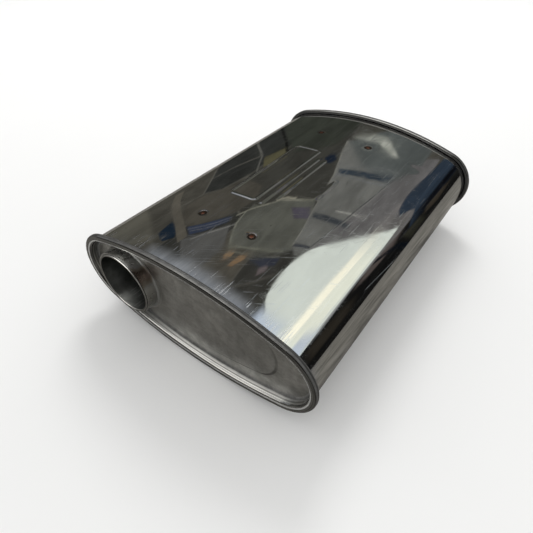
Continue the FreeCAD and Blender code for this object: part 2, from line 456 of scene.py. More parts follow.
def makeTube(name, nodeName):
    # radius by turn round the tube and place along Y, outside and inside; cells in a slot are left
    # out and get walls
    low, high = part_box(nodeName)
    middleX = (low.x + high.x) / 2
    slotTurn = math.asin(tube["slotHalf"] / body["tubeOutside"])
    quarter = np.linspace(slotTurn, np.pi / 2 - slotTurn, tube["stops"])
    stops = np.concatenate([[-slotTurn], quarter[:-1]])
    turns = np.concatenate([stops + np.pi / 4 + k * np.pi / 2 for k in range(4)])
    bevel = tube["bevel"]
    rise = bevel * np.array([0, 0.3, 1])
    y = np.concatenate([low.y + rise, [tube["slotFrom"], tube["slotTo"]], high.y - rise[::-1]])
    pull = bevel * np.array([1, 0.3, 0, 0, 0, 0, 0.3, 1])
    keep = np.ones((len(y) - 1, len(turns)), bool)
    keep[3, :: len(stops)] = False  # the slots
    walls = []
    for radius, sign in ((body["tubeOutside"], -1), (body["tubeInside"], 1)):
        r = (radius + sign * pull)[:, None]
        x = middleX + r * np.sin(turns)
        z = r * np.cos(turns)
        walls.append(np.stack([x, y[:, None] + 0 * x, z], axis=-1).reshape(-1, 3))
    here = keep.ravel()
    left, right = (np.roll(keep, step, axis=1).ravel() for step in (1, -1))
    none = np.zeros((1, len(turns)), bool)
    below = np.vstack([none, keep[:-1]]).ravel()
    above = np.vstack([keep[1:], none]).ravel()
    p, q, s, t = gridQuads(len(y), len(turns), wrapRows=False)[0].T
    deep = len(walls[0])
    quads = np.concatenate([
        np.stack([p, q, s, t], 1)[here],
        np.stack([p, t, s, q], 1)[here] + deep,
        np.stack([q, p, p + deep, q + deep], 1)[here & ~below],
        np.stack([t, s, s + deep, t + deep], 1)[here & ~above],
        np.stack([s, q, q + deep, s + deep], 1)[here & ~right],
        np.stack([p, t, t + deep, p + deep], 1)[here & ~left],
    ])
    made = makePiece(name, np.concatenate(walls), quads, sharp=30)
    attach(made, "root")
    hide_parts(nodeName)
    return made


tubes = [
    makeTube("inletTube", "inlet_tube"),
    makeTube("outletTube", "outlet_tube"),
    makeTube("returnTube", "return_tube"),
]
print("tubes made")

# Weld bead under the belly

bead = {
    "half": 0.0020,
    "height": 0.00058,
    "ripple": 0.00010,
    "pitch": 0.0021,
    "sway": 0.00035,
    "runOut": 0.004,  # length over which each end flattens
    "clear": 0.00004,  # off the shell
    "sunk": 0.0003,  # how far its back reaches into the joint
    "rows": 640,
    "columns": 11,
}


def makeBead():
    # a low arch swept along Y; its height ripples, its middle sways, and both ends run out flat
    low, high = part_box("shell_seam_weld")
    y = np.linspace(low.y, high.y, bead["rows"])[:, None]
    across = np.linspace(-1, 1, bead["columns"])[None, :]
    fade = np.sqrt(np.clip((high.y - np.abs(y)) / bead["runOut"], 0, 1))
    wave = np.cos((y / bead["pitch"] + 0.16 * across**2) * 2 * np.pi)
    arch = 1 - across**2
    height = bead["height"] * arch**0.8 - bead["ripple"] * (0.5 - 0.5 * wave) * arch
    x = across * bead["half"] * (0.25 + 0.75 * fade) * (0.93 + 0.07 * wave)
    x = x + bead["sway"] * np.sin(y * 31) * np.sin(y * 83 + 1)
    surface = -body["height"] / 2 + bead["clear"]
    bottom = np.stack([x, y + 0 * x, surface - height * fade + 0 * x], axis=-1)
    roof = bottom[:, ::-1].copy()
    roof[..., 2] = surface + bead["sunk"]
    points = np.concatenate([bottom, roof[:, 1:-1]], axis=1)
    rows, columns = points.shape[:2]
    quads = [gridQuads(rows, columns, wrapRows=False)[0]]
    k = np.arange(columns // 2)
    for start, turned in ((0, 1), ((rows - 1) * columns, -1)):
        face = np.stack([k, k + 1, (columns - k - 1) % columns, (columns - k) % columns], axis=1)
        quads.append((start + face)[:, ::turned])
    return makePiece("bellyWeld", points.reshape(-1, 3), np.concatenate(quads), sharp=60)


bellyWeld = makeBead()
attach(bellyWeld, "root")
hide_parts("shell_seam_weld")
print("weld made")

# Shader helpers


def node(tree, kind, inputs=None, **settings):
    # one node with its settings; an input is a value or a socket to link
    made = tree.nodes.new("ShaderNode" + kind)
    for name, value in settings.items():
        setattr(made, name, value)
    for key, value in (inputs or {}).items():
        if isinstance(value, bpy.types.NodeSocket):
            tree.links.new(value, made.inputs[key])
        elif made.inputs[key].type == "RGBA":
            made.inputs[key].default_value = (*value, 1)
        else:
            made.inputs[key].default_value = value
    return made


def follow(kind, inputs, **settings):
    # a node in the tree that its first linked input comes from
    tree = next(value.id_data for value in inputs.values() if isinstance(value, bpy.types.NodeSocket))
    return node(tree, kind, inputs, **settings)


def feed(value, target, key):
    target.id_data.links.new(value, target.inputs[key])


def maths(operation, *values):
    return follow("Math", dict(enumerate(values)), operation=operation).outputs[0]


def times(first, second):
    return maths("MULTIPLY", first, second)


def timesPlus(first, second, added):
    return maths("MULTIPLY_ADD", first, second, added)


def minus(first, second):
    return maths("SUBTRACT", first, second)


def larger(first, second):
    return maths("MAXIMUM", first, second)


def vectorMaths(operation, *values):
    made = follow("VectorMath", dict(enumerate(values)), operation=operation)
    return made.outputs["Value" if operation in ("LENGTH", "DISTANCE") else "Vector"]


def squeeze(vector, scales):
    return vectorMaths("MULTIPLY", vector, scales)


def between(value, low, high, toLow=0.0, toHigh=1.0):
    # smooth step from one value to another
    inputs = {"Value": value, "From Min": low, "From Max": high, "To Min": toLow, "To Max": toHigh}
    return follow("MapRange", inputs, interpolation_type="SMOOTHSTEP").outputs["Result"]


def mixColour(factor, first, second):
    return follow("Mix", {0: factor, 6: first, 7: second}, data_type="RGBA").outputs[2]


def noise(vector, scale, detail=3.0, roughness=0.5, distortion=0.0):
    inputs = {"Vector": vector, "Scale": scale, "Detail": detail}
    inputs.update({"Roughness": roughness, "Distortion": distortion})
    return follow("TexNoise", inputs).outputs["Fac"]


def parts(vector):
    return follow("SeparateXYZ", {"Vector": vector}).outputs


def turnedBy(vector, *rotation):
    return follow("Mapping", {"Vector": vector, "Rotation": rotation}).outputs[0]


def startGroup(name, inputs, outputs):
    # an empty group with its sockets; gives the tree, what comes in and what goes out
    tree = bpy.data.node_groups.new(name, "ShaderNodeTree")
    kinds = {float: "NodeSocketFloat", tuple: "NodeSocketVector"}
    for label, value in inputs.items():
        socket = tree.interface.new_socket(label, in_out="INPUT", socket_type=kinds[type(value)])
        socket.default_value = value
    for label, kind in outputs.items():
        tree.interface.new_socket(label, in_out="OUTPUT", socket_type="NodeSocket" + kind)
    return tree, tree.nodes.new("NodeGroupInput").outputs, tree.nodes.new("NodeGroupOutput").inputs


def makeLines():
    # fine drawn lines: noise squeezed across the lines and stretched along them
    inputs = {"Vector": (0.0, 0.0, 0.0), "Stretch": (1.0, 1.0, 1.0)}
    tree, given, result = startGroup("drawnLines", inputs, {"Value": "Float"})
    stretched = squeeze(given["Vector"], given["Stretch"])
    tree.links.new(noise(stretched, 1.0, 4.0, 0.65), result["Value"])
    return tree


def makeScratches():
    # thin marks: the tops of drawn lines, broken up by a slower noise
    inputs = {"Vector": (0.0, 0.0, 0.0), "Stretch": (1.0, 1.0, 1.0), "Amount": 0.3, "Patch": 20.0}
    tree, given, result = startGroup("scratches", inputs, {"Mask": "Float"})
    fine = noise(squeeze(given["Vector"], given["Stretch"]), 1.0, 2.0, 0.4)
    patch = noise(given["Vector"], given["Patch"], 2.0)
    limit = minus(0.78, times(given["Amount"], patch))
    tree.links.new(between(minus(fine, limit), 0.0, 0.035), result["Mask"])
    return tree


def makeMottle():
    # cloudy stains at two sizes, between 0 and 1
    inputs = {"Vector": (0.0, 0.0, 0.0), "Scale": 30.0}
    tree, given, result = startGroup("mottle", inputs, {"Value": "Float"})
    broad = noise(given["Vector"], given["Scale"], 4.0, 0.6, 0.6)
    small = noise(given["Vector"], times(given["Scale"], 4.3), 3.0, 0.6)
    both = timesPlus(small, 0.35, times(broad, 0.65))
    tree.links.new(between(both, 0.33, 0.67), result["Value"])
    return tree


# heat colours from hot to cold, with their places as shares of the reach: brown, straw, a trace of
# blue, and the bare steel
heatStops = (
    (0.0, (0.055, 0.029, 0.019)),
    (0.35, (0.115, 0.064, 0.044)),
    (0.6, (0.26, 0.19, 0.12)),
    (0.8, (0.30, 0.31, 0.36)),
    (1.0, (0.36, 0.36, 0.36)),
)


def makeTint():
    # the heat colours over a distance, and a mask that fades where they end
    outputs = {"Colour": "Color", "Mask": "Float"}
    tree, given, result = startGroup("heatTint", {"Distance": 0.0, "Reach": 0.01}, outputs)
    share = maths("DIVIDE", given["Distance"], given["Reach"])
    ramp = node(tree, "ValToRGB", {"Fac": share})
    elements = ramp.color_ramp.elements
    for place, _ in heatStops[2:]:
        elements.new(place)
    for element, (place, colour) in zip(elements, heatStops):
        element.position = place
        element.color = (*colour, 1)
    tree.links.new(ramp.outputs["Color"], result["Colour"])
    tree.links.new(between(share, 0.35, 1.0, 1.0, 0.0), result["Mask"])
    return tree


drawnLines, scratches, mottle, heatTint = makeLines(), makeScratches(), makeMottle(), makeTint()


def useGroup(group, **inputs):
    return follow("Group", inputs, node_tree=group).outputs


def linesAlong(place, *stretch):
    return useGroup(drawnLines, Vector=place, Stretch=stretch)["Value"]


def thinMarks(place, stretch, amount, patch):
    return useGroup(scratches, Vector=place, Stretch=stretch, Amount=amount, Patch=patch)["Mask"]


def stains(place, scale):
    return useGroup(mottle, Vector=place, Scale=scale)["Value"]


def startMaterial(name, baseColour, roughness, metallic=1.0):
    # a material with plain values; gives its shader and the place on the object too
    material = bpy.data.materials.new(name)
    material.use_nodes = True
    tree = material.node_tree
    shader = tree.nodes["Principled BSDF"]
    shader.inputs["Base Color"].default_value = (*baseColour, 1)
    shader.inputs["Roughness"].default_value = roughness
    shader.inputs["Metallic"].default_value = metallic
    return material, shader, node(tree, "TexCoord").outputs["Object"]


def setBump(shader, height, strength, distance):
    bump = follow("Bump", {"Height": height, "Strength": strength, "Distance": distance})
    feed(bump.outputs["Normal"], shader, "Normal")


polish = {
    "colour": (0.62, 0.615, 0.59),
    "scuffColour": (0.62, 0.65, 0.70),
    "scratchColour": (0.70, 0.71, 0.73),
    "combedColour": (0.37, 0.375, 0.38),
    "ringColour": (0.050, 0.034, 0.026),
    "copperColour": (0.19, 0.072, 0.042),
    # stretch, amount and patch size of thin marks: along the gas flow, across, and rubbed near the seams
    "scratches": ((1100.0, 20.0, 1100.0), 0.25, 30.0),
    "crossing": ((1200.0, 30.0, 500.0), 0.26, 42.0),
    "rubbing": ((900.0, 26.0, 900.0), 0.37, 60.0),
    "heatReach": 0.0064,
    "heatWobble": 0.0018,
}


def polishedMaterial():
    # mirror polish with faint smudges and fine scratches, a rubbed hazy band by each seam, and
    # burnt rings at the spot welds
    material, shader, place = startMaterial("polishedSteel", (0.62, 0.62, 0.60), 0.05)
    split = parts(place)
    smudge = stains(place, 11.0)
    streak = linesAlong(place, 300.0, 5.0, 300.0)
    scratch = thinMarks(place, *polish["scratches"])
    cross = thinMarks(turnedBy(place, 0, 0, 0.9), *polish["crossing"])
    fromSeam = minus(seamFront, maths("ABSOLUTE", split["Y"]))
    ragged = noise(squeeze(place, (26.0, 5.0, 26.0)), 1.0, 3.0)
    band = between(minus(timesPlus(ragged, 0.030, -0.003), fromSeam), -0.006, 0.012)
    brushedBy = noise(squeeze(place, (210.0, 6.0, 210.0)), 1.0, 2.0)
    band = times(band, between(brushedBy, 0.34, 0.60, 0.25, 1.0))
    rubAndPaintedSheen = between(noise(place, 48.0, 2.0), 0.50, 0.60)
    rubAndPaintedSheen = times(rubAndPaintedSheen, between(split["Y"], -0.10, 0.10, 1.0, 0.12))
    rubAndPaintedSheen = times(rubAndPaintedSheen, between(fromSeam, 0.016, 0.040, 1.0, 0.0))
    rub = times(thinMarks(place, *polish["rubbing"]), rubAndPaintedSheen)
    swirl = linesAlong(turnedBy(place, 0, 0, 0.5), 620.0, 16.0, 620.0)
    combed = linesAlong(place, 520.0, 7.0, 520.0)
    combed = times(between(combed, 0.44, 0.66), between(fromSeam, 0.008, 0.028, 0.30, 0.05))
    combed = times(combed, between(split["X"], 0.00, 0.07, 1.0, 0.15))
    marks = larger(larger(times(scratch, 0.45), times(cross, 0.35)), times(rub, 0.9))
    # distance from the nearest spot weld, seen from above
    flatPlace = squeeze(place, (1.0, 1.0, 0.0))
    away = [vectorMaths("DISTANCE", flatPlace, (*weld, 0.0)) for weld in shellLook["welds"]]
    nearest = away[0]
    for distance in away[1:]:
        nearest = maths("MINIMUM", nearest, distance)
    wobble = minus(noise(place, 700.0, 2.0), 0.5)
    nearest = timesPlus(wobble, polish["heatWobble"], nearest)
    tint = useGroup(heatTint, Distance=nearest, Reach=polish["heatReach"])
    ring = times(between(nearest, 0.0017, 0.0025), between(nearest, 0.0034, 0.0044, 1.0, 0.0))
    centre = between(nearest, 0.0015, 0.0023, 1.0, 0.0)
    colour = mixColour(times(band, 0.7), polish["colour"], polish["scuffColour"])
    colour = mixColour(combed, colour, polish["combedColour"])
    colour = mixColour(marks, colour, polish["scratchColour"])
    colour = mixColour(times(tint["Mask"], 0.75), colour, tint["Colour"])
    colour = mixColour(ring, colour, polish["ringColour"])
    feed(mixColour(centre, colour, polish["copperColour"]), shader, "Base Color")
    rough = timesPlus(streak, 0.012, between(smudge, 0.40, 1.0, 0.026, 0.060))
    rough = timesPlus(times(smudge, between(swirl, 0.45, 0.75)), 0.05, rough)
    for mask, share in ((band, 0.07), (marks, 0.30), (larger(ring, centre), 0.35)):
        rough = timesPlus(mask, share, rough)
    feed(rough, shader, "Roughness")
    height = timesPlus(swirl, 0.3, times(streak, 0.4))
    setBump(shader, minus(height, marks), 0.14, 0.00001)
    return material


pressed = {
    "plateDark": (0.480, 0.478, 0.462),
    "plateLight": (0.860, 0.856, 0.836),
    "stainDark": (0.290, 0.288, 0.276),
    "neckColour": (0.70, 0.70, 0.68),
    "scratchColour": (0.72, 0.73, 0.72),
    "rimDark": (0.10, 0.10, 0.098),
    "rimLight": (0.42, 0.42, 0.41),
    # painted highlight on the crest's inner bend
    "edgeHighlight": (0.80, 0.80, 0.78),
    # painted sheen on the recess wall, with darker brushed lines in it
    "paintedSheenDark": (0.26, 0.26, 0.255),
    "paintedSheenLight": (0.92, 0.92, 0.90),
    # painted shade, for the corners and the seam's outer and hook faces
    "paintedShade": (0.022, 0.021, 0.020),
    "pressMark": (0.145, 0.143, 0.137),
    "pressLine": 0.81,  # where the press left a mark, as a share of the way from neck to rim
    "scratches": ((30.0, 900.0, 1500.0), 0.33, 38.0),
    "crossing": ((42.0, 600.0, 1400.0), 0.31, 55.0),
    "heatPlace": (-0.0238, 0.0, 0.0200),  # where the neck got hottest, off the port's axis
    "heatReach": 0.0052,
    "neckRadius": 0.0308,
}


def capMaterial():
    # dull pressed sheet with stains and handling marks; the rim is brushed along its length, and the
    # neck is burnt brown in patches where the tube is welded in. Shade is painted into the corners and
    # over the seam's outer and hook faces, a highlight onto the crest's inner bend, and a sheen onto the
    # lower recess wall
    material, shader, place = startMaterial("pressedSteel", (0.36, 0.36, 0.34), 0.42)
    tree = material.node_tree
    along = node(tree, "UVMap", uv_map="along").outputs["UV"]
    rim, corner, wall, crestHighlight, share = (
        node(tree, "Attribute", attribute_name=label).outputs["Fac"]
        for label in ("rim", "corner", "wall", "crestHighlight", "share")
    )
    stain, fineStain, grain = (stains(place, scale) for scale in (26.0, 120.0, 900.0))
    brushed = linesAlong(along, 4.0, 700.0, 1.0)
    scratch = thinMarks(place, *pressed["scratches"])
    marks = larger(scratch, thinMarks(turnedBy(place, 0, 0.5, 0), *pressed["crossing"]))
    # place off the port's axis, with the far end turned onto the near one
    split = parts(place)
    ownX = minus(times(split["X"], maths("SIGN", split["Y"])), body["portX"])
    flatPlace = follow("CombineXYZ", {"X": ownX, "Z": split["Z"]}).outputs[0]
    fromNeck = maths("ABSOLUTE", minus(vectorMaths("LENGTH", flatPlace), pressed["neckRadius"]))
    fromPatch = vectorMaths("DISTANCE", flatPlace, pressed["heatPlace"])
    uneven = between(noise(place, 34.0, 3.0), 0.38, 0.66, 0.0, 0.0020)
    uneven = maths("ADD", uneven, between(fromPatch, 0.002, 0.024, 0.0, 0.0065))
    tint = useGroup(heatTint, Distance=maths("ADD", fromNeck, uneven), Reach=pressed["heatReach"])
    plate = mixColour(stain, pressed["plateDark"], pressed["plateLight"])
    plate = mixColour(times(fineStain, 0.42), plate, pressed["stainDark"])
    plate = mixColour(times(marks, 0.30), plate, pressed["scratchColour"])
    fromLine = maths("ABSOLUTE", minus(share, pressed["pressLine"]))
    broken = between(noise(place, 21.0, 2.0), 0.40, 0.58, 0.0, 0.85)
    broken = times(between(fromLine, 0.004, 0.012, 1.0, 0.0), broken)
    plate = mixColour(broken, plate, pressed["pressMark"])
    onNeck = between(share, 0.0005, 0.0100, 1.0, 0.0)
    plate = mixColour(times(onNeck, 0.75), plate, pressed["neckColour"])
    plate = mixColour(times(tint["Mask"], 0.85), plate, tint["Colour"])
    lineShare = between(brushed, 0.40, 0.62)
    paintedWallSheen = mixColour(lineShare, pressed["paintedSheenDark"], pressed["paintedSheenLight"])
    # painted sheen: the recess wall lighter low down, where it faces up, and fainter higher up
    rubAndPaintedSheen = times(wall, between(split["Z"], -0.012, 0.014, 1.0, 0.25))
    band = mixColour(rubAndPaintedSheen, mixColour(lineShare, pressed["rimDark"], pressed["rimLight"]), paintedWallSheen)
    # painted highlight along the crest's inner bend
    band = mixColour(times(crestHighlight, between(fineStain, 0.0, 0.8, 1.0, 0.7)), band, pressed["edgeHighlight"])
    # painted shade over the corners and the seam's outer and hook faces
    paintedShadeMask = times(corner, between(fineStain, 0.0, 1.0, 0.75, 1.0))
    feed(mixColour(paintedShadeMask, mixColour(rim, plate, band), pressed["paintedShade"]), shader, "Base Color")
    dull = timesPlus(onNeck, -0.16, between(stain, 0.0, 1.0, 0.46, 0.34))
    satin = timesPlus(wall, 0.26, between(brushed, 0.3, 0.7, 0.12, 0.22))
    rough = follow("Mix", {0: rim, 2: dull, 3: satin}).outputs[0]
    feed(timesPlus(corner, 0.30, rough), shader, "Roughness")
    # less metallic where the shade and the crest's highlight are painted
    paintedShadeAndHighlight = larger(between(paintedShadeMask, 0.2, 1.0, 0.0, 0.85), times(crestHighlight, 0.60))
    feed(minus(1.0, paintedShadeAndHighlight), shader, "Metallic")
    feed(times(wall, 0.8), shader, "Anisotropic")
    shader.inputs["Anisotropic Rotation"].default_value = 0.25
    feed(node(tree, "Tangent", direction_type="UV_MAP", uv_map="along").outputs[0], shader, "Tangent")
    height = timesPlus(grain, 0.25, times(brushed, rim))
    setBump(shader, minus(height, times(marks, 0.4)), 0.20, 0.00006)
    return material


drawn = {
    "tubeColour": (0.30, 0.31, 0.30),
    "tubeShares": (0.30, 0.55),  # of the colour, in and out of the stains
    "baffleColour": (0.34, 0.34, 0.33),
    "baffleShares": (0.62, 1.0),
    "markColour": (0.45, 0.45, 0.44),
    # pale bevels at the tube's ends: scraped metal, and a painted highlight
    "scrapedAndHighlight": (0.72, 0.71, 0.69),
    "face": (0.33, 0.325, 0.31),
    "bevelFrom": (0.17705, 0.17735),  # distances from the middle at which the end changes
    "faceFrom": (0.17768, 0.17778),
    "scratches": ((900.0, 30.0, 900.0), 0.22, 60.0),
}


def tubeMaterial(name, pale, wallShare):
    # drawn steel: lines along its length, stained walls, and pale bevels at the ends, scraped metal with
    # a painted highlight, round a darker flat end face
    material, shader, place = startMaterial(name, pale, 0.35)
    lines = linesAlong(place, 500.0, 9.0, 500.0)
    outward = maths("ABSOLUTE", parts(place)["Y"])
    marks = thinMarks(place, *drawn["scratches"])
    dark, light = np.outer(wallShare, pale)
    wall = mixColour(times(marks, 0.4), mixColour(stains(place, 38.0), dark, light), drawn["markColour"])
    # pale bevels at the ends: scraped metal and a painted highlight
    scrapedAndHighlight = mixColour(between(outward, *drawn["bevelFrom"]), wall, drawn["scrapedAndHighlight"])
    feed(mixColour(between(outward, *drawn["faceFrom"]), scrapedAndHighlight, drawn["face"]), shader, "Base Color")
    feed(between(lines, 0.3, 0.7, 0.30, 0.40), shader, "Roughness")
    setBump(shader, lines, 0.05, 0.00003)
    return material


def weldMaterial():
    # ripples already in the mesh; brown and straw at the sides, silver on the crests
    material, shader, place = startMaterial("weldSteel", (0.30, 0.27, 0.24), 0.38)
    reach = bead["half"] * 1.3
    inward = minus(reach, maths("ABSOLUTE", parts(place)["X"]))
    tint = useGroup(heatTint, Distance=inward, Reach=reach)
    stain = stains(place, 220.0)
    feed(mixColour(stain, tint["Colour"], (0.40, 0.38, 0.35)), shader, "Base Color")
    feed(between(stain, 0.0, 1.0, 0.30, 0.46), shader, "Roughness")
    setBump(shader, stain, 0.3, 0.00005)
    return material


def dress(piece, material):
    piece.data.materials.clear()
    piece.data.materials.append(material)


dress(shellSheet, polishedMaterial())
capSteel = capMaterial()
for piece in caps:
    dress(piece, capSteel)
tubeSteel = tubeMaterial("drawnSteel", drawn["tubeColour"], drawn["tubeShares"])
for piece in tubes:
    dress(piece, tubeSteel)
dress(bellyWeld, weldMaterial())
baffleSteel = tubeMaterial("baffleSteel", drawn["baffleColour"], drawn["baffleShares"])
for name in ("inlet_baffle", "outlet_baffle"):
    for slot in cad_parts[name].material_slots:
        slot.material = baffleSteel
print("materials set")

# Studio: pale floor and soft lamps. Round it, seen by gloss alone, stands a dim tent over a bench

studio = {
    "floorColour": (0.88, 0.88, 0.87),
    "floorHalf": 9.0,
    "tentRadius": 8.0,
    "seamRadius": 5.6,  # nearer than every panel
    "panelStops": 97,
    "panelRings": 9,
    "seamStops": 60,
    "panelStep": 0.05,  # each panel stands this much nearer than the one before
    "benchHalf": 7.8,
    "benchColour": (0.235, 0.225, 0.205),
    "benchRise": 0.0004,
    "panelDrift": 0.22,  # how far a dim panel's light drifts over it, and a bright one's
    "brightDrift": 0.05,
    "brightFrom": 0.6,
    "cloth": (0.05, 0.047, 0.04),
    "clothDark": (0.036, 0.038, 0.036),
    "clothLight": (0.098, 0.092, 0.078),
    "clothSeam": (0.15, 0.145, 0.13),
    "clothShade": (0.009, 0.009, 0.009),
    "cells": 3.1,
    "worldStrength": 0.88,
    "keyPlace": (-0.9, 1.3, 1.7),
    "keySize": 0.9,
    "keyPower": 17.0,
}

# what the polished steel reflects, later ones in front: name, colour, softness of the edge, and
# corners as turn about Y from up and rise towards +Y, one after the other, in degrees
panels = (
    ("ceilingBack", (0.185, 0.188, 0.18), 0.0,
     (-42, 55.7, -35, 53.5, -29, 51.4, -24.6, 48.5, -21.6, 46.1, -18, 43.2, -15.5, 40.3, -11, 39.5,
      -8.3, 42.1, -7, 45.9, -5.6, 49.2, -4, 52.5, -3, 57, -12, 58.2, -22, 58, -34, 57.2)),
    ("lilacBack", (0.176, 0.172, 0.176), 0.0,
     (-9, 40, -7, 45.9, -5.6, 49.2, -4, 52.5, -2.5, 57, 2, 61, 10, 62, 13, 54, 12, 48, 4, 43)),
    ("lilacWall", (0.19, 0.182, 0.182), 0.1, (7, 48, 8, 55, 20, 56, 36, 56.5, 46, 54, 48, 46, 40, 42)),
    ("ceilingHigh", (0.118, 0.132, 0.132), 0.1,
     (-42, 55.5, -36, 58, -28, 61, -12, 64, 2, 64, 5, 60, 1, 57.5, -2.5, 56, -20, 55)),
    ("mossHigh", (0.047, 0.052, 0.043), 0.1, (-92, 49.5, -92, 58, -60, 60, -44, 60, -44, 54, -58, 48.5)),
    ("fanNear", (0.124, 0.127, 0.112), 0.0,
     (-45.8, 40.1, -41.4, 41, -37.1, 43.7, -30, 45.8, -24.9, 47.2, -21.6, 46.1, -18, 43.2, -14, 39.6,
      -16.5, 38.6, -20.3, 37.3, -25.7, 36, -31, 34.6, -35.4, 33.3, -39.2, 34.6, -42.7, 36.2)),
    ("fanLeft", (0.086, 0.08, 0.068), 0.1,
     (-70.5, 32, -69.8, 35.3, -65.6, 38.2, -60, 42, -52, 43, -46.5, 41, -47.5, 37, -57, 30.4, -63, 30)),
    ("olive", (0.118, 0.11, 0.066), 0.05, (-68.5, 45, -65, 48.2, -58.5, 47.8, -59, 43.6)),
    ("warmLow", (0.27, 0.185, 0.115), 0.25,
     (-34.3, 32.2, -33.6, 33.2, -31.6, 33.8, -30.8, 32.6, -32.4, 31.8)),
    ("warmHigh", (0.3, 0.2, 0.12), 0.25, (-29.2, 31.6, -29, 33.8, -26.4, 34.5, -25.6, 33.9, -27.2, 31.9)),
    ("navyLow", (0.04, 0.046, 0.066), 0.1,
     (-24.8, 34, -20.4, 36.1, -14.8, 37.9, -13.7, 36.5, -17.3, 34.7)),
    ("mauveLow", (0.155, 0.13, 0.135), 0.2, (-18.5, 34.4, -16.1, 35.7, -14.6, 35, -16.6, 33.5)),
    ("lilacPatch", (0.098, 0.09, 0.118), 0.3, (-31.6, 44, -23.6, 46.3, -18.6, 45, -25.2, 43)),
    ("greyLow", (0.112, 0.112, 0.11), 0.1,
     (-54, 28.6, -50, 31.4, -44, 35.8, -36, 32.6, -36, 29, -46, 27)),
    ("navyStreak", (0.04, 0.052, 0.088), 0.15,
     (-58.1, 30.2, -54.3, 32.4, -50.9, 34.6, -47.7, 36.6, -45.4, 35.9, -49.8, 31.8, -53.1, 29.7)),
    ("navyCorner", (0.014, 0.025, 0.042), 0.1, (-66, 29.2, -60, 29.4, -56.5, 28.2, -59, 26.5, -65, 26.8)),
    ("navyHigh", (0.014, 0.022, 0.04), 0.1,
     (-42, 51.9, -41.6, 52.9, -38.5, 53.4, -36, 53.2, -36.1, 52.3, -38.8, 51.5)),
    ("beamHigh", (0.04, 0.055, 0.075), 0.15,
     (-31.6, 52.3, -18.5, 54.8, -3.5, 56.9, -1.8, 56.2, -15.4, 54.3, -28.7, 51.7)),
    ("beamLow", (0.048, 0.056, 0.068), 0.2,
     (-21.5, 45.8, -15, 47, -7.4, 47.9, -1.7, 48.2, -1.7, 47.5, -6, 47.1, -14.2, 46.2, -20.2, 45.1)),
    ("beamNear", (0.05, 0.056, 0.07), 0.2,
     (-15.9, 40.9, -12.6, 41.6, -8.6, 42.3, -8.2, 41.6, -15.6, 40.2)),
    ("arc", (0.52, 0.54, 0.49), 0.25,
     (-45, 56.3, -40.9, 57.5, -34.3, 58.7, -26.2, 59.6, -18.5, 59.9, -12.4, 59.7, -8.2, 59.2, -10, 58.6,
      -15.4, 58.9, -22.5, 58.9, -30.1, 58.4, -37, 57.3)),
    ("wallLeft", (0.118, 0.114, 0.096), 0.3,
     (-96, 28.6, -75, 27.4, -62, 26.4, -59, 25.4, -66, 21, -96, 17)),
    ("hazeLow", (0.34, 0.36, 0.395), 0.35,
     (-63.4, 25.3, -53.6, 27.3, -47.3, 28.2, -43.4, 29.2, -36.3, 30, -27.4, 30.9, -19.1, 31, -10.8, 31.5,
      -3.4, 31.2, 0, 22, -60, 6)),
    ("navyBack", (0.034, 0.05, 0.076), 0.04,
     (9, 57, 9.3, 55.2, 11, 53.7, 14, 53.2, 22, 54.4, 34, 55, 46, 53.5, 62, 52, 62, 68, 14, 68,
      10.5, 61)),
    ("navyShade", (0.006, 0.007, 0.01), 0.7, (40, 52, 38, 66, 66, 68, 68, 50)),
    ("brownHigh", (0.05, 0.042, 0.033), 0.5, (56, 55.5, 60, 60, 70, 61, 80, 57.5, 70, 54.5)),
    ("mossRight", (0.034, 0.034, 0.026), 0.5, (54, 50.5, 60, 55, 86, 55.5, 89, 51)),
    ("lilacRight", (0.12, 0.1, 0.095), 0.6, (40, 42, 40, 50, 46, 53, 60, 50, 56, 43, 46, 39.5)),
    ("brownLow", (0.03, 0.026, 0.021), 0.5, (48, 28, 48, 39, 62, 42, 78, 40, 78, 28)),
    ("windowBack", (0.93, 1.0, 0.95), 0.0,
     (-5.3, 32.2, -7.1, 33.1, -8.6, 34.6, -9.3, 35.9, -9.7, 37.4, -9.4, 38.6, -9, 40, -8.2, 41.3,
      -6.6, 42.6, -4.6, 43.7, 0.9, 45.9, 5.6, 47.6, 9.3, 48.8, 12.2, 50.1, 18, 51, 26, 51.6, 32, 51.7,
      36, 48, 39, 42, 42, 36, 46, 30, 48, 20, 0, 20, -2, 31)),
    ("windowBright", (1.16, 1.2, 1.06), 0.4,
     (10, 49, 13, 50.6, 30, 51, 34, 47, 37, 41, 39, 35, 39, 20, 10, 20)),
    ("windowEdge", (0.3, 0.31, 0.32), 0.8, (34, 53, 40, 47, 45, 38, 52, 30, 40, 30, 37, 40, 33, 48)),
    ("stripBack", (1.52, 1.48, 1.24), 0.6, (8.6, 51, 13.6, 51.6, 13.6, 20, 8.6, 20)),
    ("blueLow", (0.72, 0.8, 0.92), 0.5, (18, 33.6, 30, 34.6, 46, 35, 50, 20, 16, 20)),
    ("blueNear", (0.74, 0.84, 0.98), 0.5, (-6, 32.4, 8, 33, 10, 20, -6, 20)),
    ("windowOver", (2.4, 2.37, 2.28), 0.3,
     (-58, -50, -56, 6, -46, 15, -20, 18, 16, 18, 22, -20, 14, -56)),
    ("windowLeft", (0.86, 0.88, 0.9), 0.2, (-80, -2, -80, -24, -50, -26, -50, -4)),
    ("windowRight", (0.8, 0.784, 0.76), 0.2, (52, -8, 52, -30, 80, -28, 80, -10)),
)
